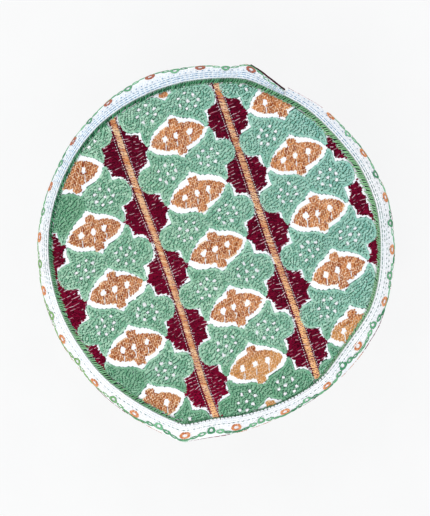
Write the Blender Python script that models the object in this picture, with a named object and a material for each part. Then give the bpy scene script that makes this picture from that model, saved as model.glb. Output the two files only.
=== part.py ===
"""A round prayer cap with a flat embroidered crown, standing on its open rim.

Metres, +Z up, origin on the surface the cap stands on, under the middle of its footprint.
Bearings are in degrees, clockwise seen from above, from +Y (the back of the cap).
"""
import math
from collections import namedtuple

import bmesh
import bpy
import numpy as np

MM = 0.001

# Driving dimensions, in metres
CAP_AXIS = (-0.41 * MM, 1.26 * MM)  # where the bearings start from, seen from the footprint's middle
WALL_TOP = 88.6 * MM                # the wall's upper edge, at the crown seam
SHOULDER_DROP = 14.0 * MM           # height over which the wall turns from the crown to upright
SHOULDER_START = 12.0               # degrees of that turn already made at the seam
WALL_THICKNESS = 1.4 * MM
RIM_RADIUS = 93.1 * MM              # mean radius of the wall's outer face at the rim
RIM_KEEPS = 0.75                    # how much of the shoulder's unevenness is left at the rim
GAP = 0.3 * MM                      # between neighbouring pieces

RIB_PITCH = 1.25 * MM               # corded ribs on the wall, just below the crown
RIB_HEIGHT = 0.35 * MM
RIB_COUNT = 4
BEND_POINTS = (6.6, 8.6, 10.8, 13.2, 16.0, 19.5)   # millimetres down the wall, where it turns

CROWN_THICKNESS = 2.0 * MM
CROWN_EDGE_TOP = 89.4 * MM          # top of the crown panel, at its edge
CROWN_DOME = 2.1 * MM               # rise from there to its middle
CROWN_ROUNDING = 0.5 * MM

EDGE_HEIGHT = 2.2 * MM              # the whipped seam between the crown and the wall
EDGE_MIDDLE = 88.7 * MM

HEM_HEIGHT = 7.0 * MM               # the folded binding over the wall's lower edge
HEM_THICKNESS = 0.9 * MM
HEM_ROUNDING = 0.3 * MM

# The wall is one strip. Its end slips under its start, and eases inwards before it gets there.
COLUMN_STEP = 3.6                   # degrees between sections
COLUMNS = 100
LAP_START = 24.4                    # bearing of the outer end
LAP_COLUMNS = 2                     # sections of overlap
LAP_EASE = 14.4                     # degrees over which the inner end moves in
LAP_INSET = WALL_THICKNESS + 0.35 * MM

# Sections round the cap. Creases, swells and the flat beside the lap are rows of this table.
Section = namedtuple("Section", "bearing crown_edge edge_width shoulder")
SECTIONS = [                        # degrees, then millimetres
    Section(0, 85.1, 3.2, 94.5),
    Section(5, 85.8, 3.2, 93.9),
    Section(10, 86.3, 3.2, 96.1),   # back crease
    Section(15, 85.6, 3.2, 93.7),
    Section(20, 84.8, 3.2, 91.7),
    Section(25, 84.3, 3.2, 90.2),   # flat beside the lap
    Section(30, 84.1, 3.1, 90.1),
    Section(36, 83.6, 3.0, 90.6),
    Section(45, 82.8, 3.0, 91.3),
    Section(60, 82.3, 2.9, 92.0),
    Section(75, 82.3, 2.7, 92.5),
    Section(90, 82.7, 2.5, 92.2),
    Section(110, 83.3, 2.4, 92.2),
    Section(127, 82.1, 2.0, 91.8),
    Section(145, 83.8, 1.4, 91.8),
    Section(160, 83.8, 1.3, 92.2),
    Section(170, 84.1, 1.3, 93.5),
    Section(180, 84.8, 1.4, 95.8),
    Section(186, 86.9, 1.6, 98.0),
    Section(190, 88.3, 1.8, 99.6),  # front crease
    Section(194, 87.6, 2.0, 97.8),
    Section(200, 86.3, 2.3, 96.1),
    Section(210, 84.8, 2.7, 94.5),
    Section(225, 83.8, 3.0, 92.8),
    Section(240, 83.2, 3.2, 92.0),
    Section(260, 82.8, 3.2, 91.2),
    Section(280, 83.3, 3.0, 91.2),
    Section(300, 83.8, 2.8, 91.8),
    Section(315, 84.6, 2.8, 93.1),
    Section(338, 84.3, 3.0, 95.8),  # broad swell beside the back crease
]

Finish = namedtuple("Finish", "color roughness")
FINISHES = {
    "crown_panel": Finish((0.30, 0.52, 0.36, 1.0), 0.85),
    "crown_edge": Finish((0.10, 0.32, 0.17, 1.0), 0.80),
    "side_wall": Finish((0.86, 0.87, 0.90, 1.0), 0.90),
    "rim_binding": Finish((0.88, 0.88, 0.88, 1.0), 0.90),
}


def section_value(column, bearing):
    """One column of the table at any bearing, on a smooth closed curve through its rows."""
    angles = [row.bearing for row in SECTIONS]
    values = [getattr(row, column) * MM for row in SECTIONS]
    count = len(SECTIONS)
    bearing = bearing % 360.0
    here = max(i for i in range(count) if angles[i] <= bearing)

    def row(i):
        return angles[i % count] + 360.0 * (i // count), values[i % count]

    (a0, v0), (a1, v1), (a2, v2), (a3, v3) = (row(here + step) for step in (-1, 0, 1, 2))
    span = a2 - a1
    t = (bearing - a1) / span
    slope1 = (v2 - v0) / (a2 - a0) * span
    slope2 = (v3 - v1) / (a3 - a1) * span
    return ((2 * t**3 - 3 * t**2 + 1) * v1 + (t**3 - 2 * t**2 + t) * slope1
            + (3 * t**2 - 2 * t**3) * v2 + (t**3 - t**2) * slope2)


MEAN_SHOULDER = sum(section_value("shoulder", k * COLUMN_STEP) for k in range(COLUMNS)) / COLUMNS


def rim_radius(bearing):
    """The wall's outer radius at the rim."""
    return RIM_RADIUS + RIM_KEEPS * (section_value("shoulder", bearing) - MEAN_SHOULDER)


def place(bearing, radius, height):
    """A point of the cap from its bearing, radius and height."""
    angle = math.radians(bearing)
    return (CAP_AXIS[0] + radius * math.sin(angle), CAP_AXIS[1] + radius * math.cos(angle), height)


def ease(t):
    t = min(max(t, 0.0), 1.0)
    return t * t * (3 - 2 * t)


def outer_curve(bearing):
    """Radius and height along the wall's outer face, from the crown seam to the foot."""
    top = section_value("crown_edge", bearing) + GAP
    shoulder = section_value("shoulder", bearing)
    turn = np.radians(np.linspace(SHOULDER_START, 90, 60))
    first = math.radians(SHOULDER_START)
    out = (np.sin(turn) - math.sin(first)) / (1 - math.sin(first))
    radius = top + (shoulder - top) * out
    height = WALL_TOP - SHOULDER_DROP * (1 - np.cos(turn) / math.cos(first))
    down = np.linspace(0, 1, 40)[1:]
    foot = HEM_THICKNESS + GAP
    low_height = height[-1] + (foot - height[-1]) * down
    low_radius = shoulder + (rim_radius(bearing) - shoulder) * down**2 * (3 - 2 * down)
    return np.concatenate([radius, low_radius]), np.concatenate([height, low_height])


def points_along(curve, distances, offsets):
    """Points at distances along a curve, each moved off it by its own offset, outwards."""
    radius, height = curve
    steps = np.hypot(np.diff(radius), np.diff(height))
    length = np.concatenate([[0], np.cumsum(steps)])
    slope_r = np.interp(distances, length, np.gradient(radius, length))
    slope_z = np.interp(distances, length, np.gradient(height, length))
    size = np.hypot(slope_r, slope_z)
    out_r, out_z = -slope_z / size, slope_r / size
    return list(zip(np.interp(distances, length, radius) + out_r * offsets,
                    np.interp(distances, length, height) + out_z * offsets))


def wall_section(bearing, inset):
    """The wall's closed outline at one bearing: outer face downwards, inner face upwards."""
    curve = outer_curve(bearing)
    total = float(np.hypot(np.diff(curve[0]), np.diff(curve[1])).sum())
    rib_points = np.arange(2 * RIB_COUNT + 1) * RIB_PITCH / 2
    under = inset / LAP_INSET       # the ribs lie flat where the strip has slipped under
    rib_rise = np.where(np.arange(2 * RIB_COUNT + 1) % 2 == 1, RIB_HEIGHT * (1 - under), 0.0)
    bend_points = np.array(BEND_POINTS) * MM
    low_points = np.linspace(bend_points[-1], total, 7)[1:]
    outer = np.concatenate([rib_points, bend_points, low_points])
    rise = np.concatenate([rib_rise, np.zeros(len(bend_points) + len(low_points))])
    inner = np.concatenate([low_points[::-1][::2], bend_points[::-1], [rib_points[3], 0.0]])
    return (points_along(curve, outer, rise - inset)
            + points_along(curve, inner, np.full(len(inner), -WALL_THICKNESS - inset)))


def add_loop(bm, bearing, section):
    """A closed loop of edges standing at one bearing."""
    verts = [bm.verts.new(place(bearing, r, z)) for r, z in section]
    return [bm.edges.new((verts[i - 1], verts[i])) for i in range(len(verts))]


def add_ring(bm, points):
    """A closed loop of edges running round the cap."""
    verts = [bm.verts.new(point) for point in points]
    return [bm.edges.new((verts[i - 1], verts[i])) for i in range(len(verts))]


def bridge(bm, loops, closed):
    """Skin a row of loops, and close the row on itself or cap its two ends."""
    for first, second in zip(loops, loops[1:]):
        bmesh.ops.bridge_loops(bm, edges=first + second)
    if closed:
        bmesh.ops.bridge_loops(bm, edges=loops[-1] + loops[0])
    else:
        bmesh.ops.edgeloop_fill(bm, edges=loops[0])
        bmesh.ops.edgeloop_fill(bm, edges=loops[-1])


def finish(bm, name, smooth_angle=40.0):
    """Turn a bmesh into a named object with its own material."""
    bmesh.ops.triangulate(bm, faces=bm.faces[:])
    bmesh.ops.recalc_face_normals(bm, faces=bm.faces[:])
    mesh = bpy.data.meshes.new(name)
    bm.to_mesh(mesh)
    bm.free()
    mesh.shade_smooth()
    mesh.set_sharp_from_angle(angle=math.radians(smooth_angle))
    material = bpy.data.materials.new(name)
    material.use_nodes = True
    shader = material.node_tree.nodes["Principled BSDF"]
    shader.inputs["Base Color"].default_value = FINISHES[name].color
    shader.inputs["Roughness"].default_value = FINISHES[name].roughness
    shader.inputs["Metallic"].default_value = 0.0
    mesh.materials.append(material)
    item = bpy.data.objects.new(name, mesh)
    bpy.context.scene.collection.objects.link(item)
    return item


def bearings_round(count=COLUMNS):
    return [LAP_START + k * COLUMN_STEP for k in range(count)]


def crown_outer(bearing):
    """The crown panel's own radius, inside the whipped seam."""
    return section_value("crown_edge", bearing) - section_value("edge_width", bearing) - GAP


def make_crown_panel():
    """The round top: rings from its middle out, over the rounded edge and back underneath."""
    bm = bmesh.new()
    top_rings = (0.35, 0.68, 0.90)
    rings = []

    def ring_at(share, inward, height):
        rings.append(add_ring(bm, [
            place(b, share * (crown_outer(b) - inward), height) for b in bearings_round()]))

    for share in top_rings:
        ring_at(share, 0.0, CROWN_EDGE_TOP + CROWN_DOME * (1 - share**2))
    ring_at(1.0, CROWN_ROUNDING, CROWN_EDGE_TOP)
    ring_at(1.0, 0.0, CROWN_EDGE_TOP - CROWN_ROUNDING)
    ring_at(1.0, 0.0, CROWN_EDGE_TOP - CROWN_THICKNESS)
    for share in (0.68, 0.35):
        ring_at(share, 0.0, CROWN_EDGE_TOP + CROWN_DOME * (1 - share**2) - CROWN_THICKNESS)
    bridge(bm, rings, closed=False)
    return finish(bm, "crown_panel")


def make_crown_edge():
    """The whipped seam, a flattened bead that is wide at the back and narrow at the front."""
    bm = bmesh.new()
    loops = []
    for bearing in bearings_round():
        width = section_value("edge_width", bearing)
        middle = section_value("crown_edge", bearing) - width / 2
        corners = [math.radians(22.5 + 45 * k) for k in range(8)]
        reach = 1 / math.cos(math.radians(22.5))
        loops.append(add_loop(bm, bearing, [
            (middle + width / 2 * reach * math.cos(a), EDGE_MIDDLE + EDGE_HEIGHT / 2 * reach * math.sin(a))
            for a in corners]))
    bridge(bm, loops, closed=True)
    return finish(bm, "crown_edge", smooth_angle=60.0)


def lap_inset(bearing):
    """How far the strip has moved in at a bearing counted on from the lap, past a full turn."""
    full_turn = LAP_START + 360.0
    return LAP_INSET * ease((bearing - full_turn + LAP_EASE) / LAP_EASE)


def make_side_wall():
    """The strip, from its outer end once round and on under itself."""
    bm = bmesh.new()
    loops = [add_loop(bm, b, wall_section(b, lap_inset(b))) for b in bearings_round(COLUMNS + LAP_COLUMNS + 1)]
    bridge(bm, loops, closed=False)
    return finish(bm, "side_wall")


def make_rim_binding():
    """The hem: an upright channel that takes the wall's lower edge, wider where the wall is double."""
    bm = bmesh.new()
    loops = []
    back_to_single = 2 * COLUMN_STEP
    for bearing in bearings_round():
        past_lap = bearing - LAP_START - LAP_COLUMNS * COLUMN_STEP
        before = ease((bearing - 360.0 - LAP_START + LAP_EASE) / LAP_EASE)
        after = 1 - ease(past_lap / back_to_single)
        extra = LAP_INSET * (after if past_lap < back_to_single else before)
        outside = rim_radius(bearing) + GAP + HEM_THICKNESS
        inside = rim_radius(bearing) - WALL_THICKNESS - extra - GAP - HEM_THICKNESS
        loops.append(add_loop(bm, bearing, [
            (outside - HEM_ROUNDING, 0.0), (outside, HEM_ROUNDING),
            (outside, HEM_HEIGHT), (outside - HEM_THICKNESS, HEM_HEIGHT),
            (outside - HEM_THICKNESS, HEM_THICKNESS), (inside + HEM_THICKNESS, HEM_THICKNESS),
            (inside + HEM_THICKNESS, HEM_HEIGHT), (inside, HEM_HEIGHT), (inside, 0.0)]))
    bridge(bm, loops, closed=True)
    return finish(bm, "rim_binding")


def main():
    for item in list(bpy.data.objects):
        bpy.data.objects.remove(item, do_unlink=True)
    make_crown_panel()
    make_crown_edge()
    make_side_wall()
    make_rim_binding()


main()
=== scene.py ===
import math

import bmesh
import bpy
import numpy as np
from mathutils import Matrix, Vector
from mathutils.bvhtree import BVHTree


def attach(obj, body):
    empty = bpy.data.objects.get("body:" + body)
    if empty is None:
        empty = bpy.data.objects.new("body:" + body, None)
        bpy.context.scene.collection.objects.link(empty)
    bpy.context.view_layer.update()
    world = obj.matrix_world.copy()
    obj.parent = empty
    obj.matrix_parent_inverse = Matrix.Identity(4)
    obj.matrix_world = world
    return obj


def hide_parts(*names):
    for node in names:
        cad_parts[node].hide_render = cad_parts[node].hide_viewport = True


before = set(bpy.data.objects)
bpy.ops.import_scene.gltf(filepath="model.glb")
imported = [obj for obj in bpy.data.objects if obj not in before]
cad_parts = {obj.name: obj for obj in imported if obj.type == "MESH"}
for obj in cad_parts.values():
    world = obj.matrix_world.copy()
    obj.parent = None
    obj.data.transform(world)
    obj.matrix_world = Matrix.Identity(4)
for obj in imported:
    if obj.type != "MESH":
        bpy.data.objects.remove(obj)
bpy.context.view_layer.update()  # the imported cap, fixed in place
mm = 0.001
circle = 2 * math.pi
fullWave = 6.28   # radians, near enough
draw = np.random.default_rng(19)  # the one seeded source of every chance value

# The cap's own measures. Charts below are in millimetres, and bearings run clockwise from the back.
cap = {
    "axis": (-0.41, 1.26),    # where the bearings start from
    "columns": 100,           # sections round the solids
    "rayAside": 0.02,         # degrees, so that no ray runs along an edge
    "lapStart": 24.4,         # bearing of the strip's outer end
    "lapOver": 7.2,           # degrees of overlap
    "lapEase": 14.4,          # degrees over which the inner end moves in
    "lapInset": 1.75,
    "gap": 0.3,
    "wallTop": 88.6,
    "shoulderDrop": 14.0,
    "shoulderStart": 12.0,    # degrees of the turn already made at the seam
    "foot": 1.2,
    "wallCloth": 1.4,
    "hemCloth": 0.9,
    "hemHeight": 7.0,
    "hemMiddle": 0.6,         # where the hem is measured, as a share of its height
    "edgeMiddle": 88.7,
    "edgeHeight": 2.2,
    "crownTop": 89.4,         # at its edge
    "crownDome": 2.1,
    "crownCloth": 2.0,
    "wallLength": 90.7,       # down the strip, from the seam to the foot
    "perDegree": 1.6144,      # along the strip
    # the embroidered cloth reaches over the seam by this much: bearing, millimetres
    "crownReach": (
        (0, 1.7), (10, 1.45), (22, 1.2), (50, 1.2), (60, 1.9), (80, 2.2), (90, 1.8), (100, 1.5), (112, 1.3),
        (121, 0.7), (130, 0.7), (140, 0.9), (182, 1.0), (198, 1.0), (214, 1.35), (224, 1.2), (233, 0.75),
        (245, 1.15), (262, 1.5), (285, 1.65), (315, 1.55), (335, 1.85), (350, 1.9), (360, 1.7),
    ),
    # and the seam itself lies further out or in
    "edgeShift": (
        (0, 0.2), (10, 0.0), (24, 0.0), (35, 0.1), (44, 0.0), (52, 0.2), (61, 1.0), (74, 1.2), (84, 0.4),
        (92, -0.1), (104, -0.2), (112, -0.4), (120, -1.1), (129, -1.1), (138, -0.5), (150, -0.9), (182, -0.9),
        (191, -0.1), (220, 0.0), (226, -0.4), (233, -0.8), (241, -0.7), (252, -0.4), (264, -0.3), (288, -0.4),
        (302, -0.2), (322, -0.1), (336, 0.2), (350, 0.3), (360, 0.2),
    ),
    # as does the shoulder that the stitches thicken
    "shoulderShift": (
        (0, 0.2), (5, 0.6), (14, 0.9), (36, 0.75), (43, 0.1), (56, -0.1), (68, 0.1), (86, -0.2), (110, -0.1),
        (116, 0.4), (122, 0.0), (134, -0.1), (141, -0.6), (164, -0.6), (171, -0.2), (182, -0.8), (188, -0.5),
        (195, 0.0), (206, -0.3), (214, -0.3), (222, -0.8), (240, -0.8), (262, -0.9), (284, -0.8), (292, -1.2),
        (298, -1.0), (306, -0.6), (324, -0.6), (334, -0.3), (350, -0.4), (357, -0.2), (360, 0.2),
    ),
}


def ease(t):
    t = np.clip(t, 0.0, 1.0)
    return t * t * (3 - 2 * t)


def tabled(table, at):  # between the rows of a table of places and values
    places, values = np.array(table).T
    return np.interp(at, places, values)


def smoothBetween(a, b, c, d, t):  # from b to c, on a curve that also passes a and d
    return b + 0.5 * t * (c - a + t * (2 * a - 5 * b + 4 * c - d + t * (3 * (b - c) + d - a)))


def dye(red, green, blue):  # a colour as seen on a screen, made linear
    parts = np.array([red, green, blue]) / 255.0
    linear = np.where(parts <= 0.04045, parts / 12.92, ((parts + 0.055) / 1.055) ** 2.4)
    return (*[float(part) for part in linear], 1.0)


# Measuring the frame

def treeOf(node):
    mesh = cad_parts[node].data
    places = [v.co.copy() for v in mesh.vertices]
    return BVHTree.FromPolygons(places, [tuple(p.vertices) for p in mesh.polygons])


def reachAt(tree, bearing, height, fromOutside):  # a face's distance from the cap's axis
    angle = math.radians(bearing)
    out = Vector((math.sin(angle), math.cos(angle), 0))
    middle = Vector((cap["axis"][0] * mm, cap["axis"][1] * mm, height * mm))
    start = middle + out * 0.2 if fromOutside else middle
    hit = tree.ray_cast(start, -out if fromOutside else out)[0]
    return (hit - middle).dot(out) / mm


def lapInset(bearing):  # how far the strip has moved in, where it slips under itself
    past = bearing - cap["lapStart"] - 360.0 + cap["lapEase"]
    return cap["lapInset"] * ease(past / cap["lapEase"])


def measureRound():
    bearings = cap["lapStart"] + np.arange(cap["columns"]) * (360.0 / cap["columns"])
    hemMiddle = cap["hemHeight"] * cap["hemMiddle"]
    faces = {  # the node, the height, and whether its outer face is meant
        "crown": ("crown_panel", cap["crownTop"] - cap["crownCloth"] / 2, True),
        "edge": ("crown_edge", cap["edgeMiddle"], True),
        "shoulder": ("side_wall", cap["wallTop"] - cap["shoulderDrop"], True),
        "hemOut": ("rim_binding", hemMiddle, True),
        "hemIn": ("rim_binding", hemMiddle, False),
    }
    found = {}
    for name, (node, height, outer) in faces.items():
        tree = treeOf(node)
        found[name] = np.array([reachAt(tree, b + cap["rayAside"], height, outer) for b in bearings])
    found["shoulder"] += lapInset(bearings + cap["rayAside"])
    for name, table in (("crown", "crownReach"), ("edge", "edgeShift"), ("shoulder", "shoulderShift")):
        found[name] += tabled(cap[table], bearings % 360)
    return found


measured = measureRound()


def around(name, bearing):  # a measured value at any bearing, on a smooth closed curve
    values = measured[name]
    count = len(values)
    t = (np.asarray(bearing, float) - cap["lapStart"]) / (360.0 / count)
    first = np.floor(t).astype(int)
    return smoothBetween(*(values[(first + k) % count] for k in (-1, 0, 1, 2)), t - first)


print("frame measured:", {name: round(float(values.mean()), 2) for name, values in measured.items()})


# The wall's surface, tabled once: radius and height at every bearing and distance down the cloth
wallTable = {
    "bearings": np.arange(cap["lapStart"] - 3.0, cap["lapStart"] + 360.0 + cap["lapOver"] + 3.0, 0.6),
    "downs": np.arange(0.0, cap["wallLength"] + 0.26, 0.5),
    "keep": 12.0,   # below this the cloth is eased to the strip's even length
    "steps": (60, 40),   # round the shoulder and down from it
}


def fillWallTable():
    keep = wallTable["keep"]
    downs = wallTable["downs"]
    start = math.radians(cap["shoulderStart"])
    turn = np.radians(np.linspace(cap["shoulderStart"], 90, wallTable["steps"][0]))
    outward = (np.sin(turn) - math.sin(start)) / (1 - math.sin(start))
    sink = cap["wallTop"] - cap["shoulderDrop"] * (1 - np.cos(turn) / math.cos(start))
    down = np.linspace(0, 1, wallTable["steps"][1])[1:]
    radii, heights = [], []
    for bearing in wallTable["bearings"]:
        top = around("edge", bearing) + cap["gap"]
        shoulder = around("shoulder", bearing)
        rim = around("hemOut", bearing) - cap["gap"] - cap["hemCloth"]
        radius = np.concatenate([top + (shoulder - top) * outward, shoulder + (rim - shoulder) * ease(down)])
        height = np.concatenate([sink, sink[-1] + (cap["foot"] - sink[-1]) * down])
        length = np.concatenate([[0], np.cumsum(np.hypot(np.diff(radius), np.diff(height)))])
        below = keep + (downs - keep) * (length[-1] - keep) / (cap["wallLength"] - keep)
        real = np.where(downs < keep, downs, below)
        radii.append(np.interp(real, length, radius))
        heights.append(np.interp(real, length, height))
    wallTable["radius"] = np.array(radii)
    wallTable["height"] = np.array(heights)
    slopeR = np.gradient(wallTable["radius"], downs, axis=1)
    slopeZ = np.gradient(wallTable["height"], downs, axis=1)
    size = np.hypot(slopeR, slopeZ)
    wallTable["outR"] = -slopeZ / size
    wallTable["outZ"] = slopeR / size


fillWallTable()


def stepsAlong(marks, at):  # whole and part steps along even marks
    steps = np.clip((at - marks[0]) / (marks[1] - marks[0]), 0, len(marks) - 1.001)
    whole = steps.astype(int)
    return whole, steps - whole


def fromTable(name, bearing, down):
    table = wallTable[name]
    i, partI = stepsAlong(wallTable["bearings"], bearing)
    j, partJ = stepsAlong(wallTable["downs"], down)
    low = table[i, j] * (1 - partI) + table[i + 1, j] * partI
    high = table[i, j + 1] * (1 - partI) + table[i + 1, j + 1] * partI
    return low * (1 - partJ) + high * partJ


def turned(bearing, radius, height):  # a place on the cap, in metres
    angle = np.radians(bearing)
    x = (cap["axis"][0] + radius * np.sin(angle)) * mm
    y = (cap["axis"][1] + radius * np.cos(angle)) * mm
    return np.stack([x, y, height * mm + 0 * x], -1)


def polar(x, y):  # the bearing and the distance of a place, from the axis
    dx = x - cap["axis"][0]
    dy = y - cap["axis"][1]
    return np.degrees(np.arctan2(dx, dy)), np.hypot(dx, dy)


# soft unevenness of the wall
waves = {"depth": 0.28, "long": 29.0, "short": 17.0, "start": 12.0, "end": 80.0, "fade": 12.0}


def waveAt(along, down):
    fade = ease((down - waves["start"]) / waves["fade"]) * ease((waves["end"] - down) / waves["fade"])
    slow = np.sin(along / waves["long"] * fullWave + np.sin(down / 19.0) * 1.3)
    quick = np.sin(along / waves["short"] * fullWave + down / 11.0 + 1.7)
    return waves["depth"] * fade * (0.65 * slow + 0.35 * quick)


def onWall(along, down, lift):  # wall chart: along the strip, down from the seam, out from the cloth
    bearing = along / cap["perDegree"]
    lift = lift - lapInset(bearing) + waveAt(along, down)
    radius = fromTable("radius", bearing, down) + fromTable("outR", bearing, down) * lift
    height = fromTable("height", bearing, down) + fromTable("outZ", bearing, down) * lift
    return turned(bearing, radius, height)


# The crown's surface and its chart, which is turned with the bars
crownChart = {"origin": (0.74, 0.91), "turn": 19.2, "pucker": 0.12}
chartCos = math.cos(math.radians(crownChart["turn"]))
chartSin = math.sin(math.radians(crownChart["turn"]))


def crownPlace(u, v):
    x, y = crownChart["origin"]
    return x + u * chartCos - v * chartSin, y + u * chartSin + v * chartCos


def crownHeight(x, y, share):  # the dome, with uneven puckers a few millimetres wide
    pucker = np.sin(x / 6.1 + np.sin(y / 7.3)) * np.sin(y / 5.3 + 1.1) + 0.5 * np.sin(x / 3.1 - y / 2.7)
    rise = cap["crownDome"] * (1 - share**2) + crownChart["pucker"] * pucker * (1 - share**4)
    return cap["crownTop"] + rise


def onCrown(u, v, lift):
    x, y = crownPlace(u, v)
    bearing, reach = polar(x, y)
    share = np.minimum(reach / around("crown", bearing), 1.0)
    return np.stack([x * mm, y * mm, (crownHeight(x, y, share) + lift) * mm], -1)


def onCloth(rows, inward):  # only the stitches that lie on the crown
    bearing, reach = polar(*crownPlace(rows[:, 0], rows[:, 1]))
    return rows[reach < around("crown", bearing) - inward]


def crownOutline(inward, bare=((0, 0.0),)):  # the crown's edge in its own chart, less its bare cloth
    bearing = np.arange(0, 360, 3.0)
    radius = around("crown", bearing) - inward - tabled(bare, bearing)
    x = cap["axis"][0] + radius * np.sin(np.radians(bearing)) - crownChart["origin"][0]
    y = cap["axis"][1] + radius * np.cos(np.radians(bearing)) - crownChart["origin"][1]
    return np.stack([x * chartCos + y * chartSin, -x * chartSin + y * chartCos], -1)


# The whipped seam's chart: along the seam, across it from -1 on the crown to 1 on the wall
def onEdge(along, across, lift):
    bearing = along / cap["perDegree"]
    inner = around("crown", bearing) - edge["overCrown"]
    outer = around("edge", bearing) + edge["overWall"]
    radius = (inner + outer) / 2 + (outer - inner) / 2 * across
    fall = edge["fall"] * np.maximum(across, 0) ** 2
    height = cap["crownTop"] + edge["arch"] * np.sqrt(np.clip(1 - across**2, 0, 1)) - fall + lift
    return turned(bearing, radius, height)


# Finishes. Shader maths is written as expressions on wires.

class Wire:
    def __init__(self, finish, socket):
        self.finish = finish
        self.socket = socket

    def sum(self, operation, *values):
        return self.finish.add("ShaderNodeMath", {"operation": operation}, dict(enumerate(values)))

    def __add__(self, other):
        return self.sum("ADD", self, other)

    def __sub__(self, other):
        return self.sum("SUBTRACT", self, other)

    def __rsub__(self, other):
        return self.sum("SUBTRACT", other, self)

    def __mul__(self, other):
        return self.sum("MULTIPLY", self, other)

    __radd__ = __add__
    __rmul__ = __mul__

    def wave(self):
        return self.sum("SINE", self)

    def clip(self):
        return self.sum("MINIMUM", self.sum("MAXIMUM", self, 0.0), 1.0)


class Finish:
    def __init__(self, name, **fixed):
        self.material = bpy.data.materials.new(name)
        self.material.use_nodes = True
        self.nodes = self.material.node_tree.nodes
        self.links = self.material.node_tree.links
        self.shader = self.nodes["Principled BSDF"]
        for socket, value in fixed.items():
            self.shader.inputs[socket.replace("_", " ")].default_value = value

    def add(self, kind, settings=None, sockets=None, output=0):
        node = self.nodes.new(kind)
        for key, value in (settings or {}).items():
            setattr(node, key, value)
        for key, value in (sockets or {}).items():
            if isinstance(value, Wire):
                self.links.new(value.socket, node.inputs[key])
            else:
                node.inputs[key].default_value = value
        return Wire(self, node.outputs[output])

    def place(self):
        return self.add("ShaderNodeTexCoord", output=3)

    def chart(self, name):
        return self.add("ShaderNodeUVMap", {"uv_map": name})

    def split(self, vector):  # its first two numbers
        first = self.add("ShaderNodeSeparateXYZ", {}, {0: vector})
        return first, Wire(self, first.socket.node.outputs[1])

    def noise(self, vector, scale, detail=2.0):
        return self.add("ShaderNodeTexNoise", {}, {"Vector": vector, "Scale": scale, "Detail": detail})

    def mark(self, name):
        return self.add("ShaderNodeAttribute", {"attribute_name": name}, output=2)

    def mix(self, factor, first, second):
        return self.add("ShaderNodeMix", {"data_type": "RGBA"}, {0: factor, 6: first, 7: second}, output=2)

    def shade(self, colour, factor):  # a colour times a number
        return self.add("ShaderNodeVectorMath", {"operation": "SCALE"}, {0: colour, 3: factor})

    def bump(self, height, distance):
        return self.add("ShaderNodeBump", {}, {"Height": height, "Distance": distance * mm})

    def give(self, **wires):
        for socket, wire in wires.items():
            self.links.new(wire.socket, self.shader.inputs[socket.replace("_", " ")])
        return self.material


# Threads: dark and light dye, then the colour a stitch drifts to: changed dye for most threads, painted light
# for the whip thread and painted shade for the white and grey threads; then what is unlike the usual. A
# corner is a colour that the thread turns to at one side of the cap: its colour, how it grows to the right
# and to the back, and its share in the middle.
threads = {
    "green_thread": ((122, 182, 149), (192, 228, 203), (88, 156, 110),
                     {"corner": ((157, 213, 224), 3.2, 1.9, 0.04)}),
    "brown_thread": ((156, 72, 22), (220, 147, 86), (222, 166, 92),
                     {"corner": ((130, 40, 6), -2.4, -1.2, 0.04)}),
    "maroon_thread": ((86, 0, 28), (124, 8, 46), (146, 4, 50), {"patches": 0.25, "gloss": 0.06}),
    "fleck_thread": ((150, 70, 92), (240, 206, 214), (180, 60, 90), {}),
    "bar_thread": ((214, 142, 88), (242, 208, 166), (252, 200, 140), {}),
    # painted shade: dark green rows under the green fills, seen as shade in the gaps between the stitches
    "green_gap_shade": ((26, 84, 60), (46, 112, 82), (24, 76, 48), {}),
    "brown_underlay": ((234, 192, 150), (250, 222, 190), (240, 206, 160), {}),
    # painted shade: dark maroon rows under the maroon fills, seen as shade in the gaps between the stitches
    "maroon_gap_shade": ((50, 0, 16), (66, 0, 24), (96, 2, 32), {"gloss": 0.05}),
    "dark_thread": ((36, 16, 20), (96, 56, 52), (60, 80, 70), {}),
    # its bluish third colour is painted shade at the back of the wall
    "white_thread": ((236, 238, 242), (254, 254, 254), (238, 247, 254), {}),
    "dot_thread": ((250, 250, 252), (255, 255, 255), (250, 252, 255), {"patches": 0.0}),
    # its paler third colour is painted light on the seam
    "whip_thread": ((28, 104, 68), (104, 184, 136), (156, 210, 156), {}),
    # painted shade: the seam's dark core shows as shade in the gaps of the whipping; the same dark green
    # works the ticks beside the seam
    "dark_green_and_gap_shade": ((16, 62, 40), (26, 76, 50), (44, 96, 64), {}),
    # partly painted shade in the rib grooves, and its blue third colour is painted shade at the back of the
    # wall
    "grey_thread_and_groove_shade": ((74, 112, 104), (148, 180, 172), (112, 156, 192), {}),
    "chain_thread": ((66, 140, 98), (122, 188, 142), (128, 172, 106), {}),
    "loop_thread": ((202, 118, 68), (238, 170, 122), (176, 102, 84), {}),
}
# Cottons: tint and shade, millimetres to a thread and its neighbour, and the chart of the weave
cottons = {
    "crown_cotton": ((252, 252, 253), (240, 242, 248), 0.55, None),
    "wall_cotton": ((253, 253, 253), (243, 246, 251), 0.60, "cloth"),
    "hem_cotton": ((250, 250, 249), (240, 242, 246), 0.60, "cloth"),
}
threadLook = {"roughness": 0.62, "patchScale": 70.0, "plies": 12.0, "fibreScale": 5200.0, "bump": 0.05}
cottonLook = {"roughness": 0.78, "turn": 6.283, "wobbleScale": 260.0, "cloudScale": 45.0,
              "slubScale": 1500.0, "bump": 0.12}


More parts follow.
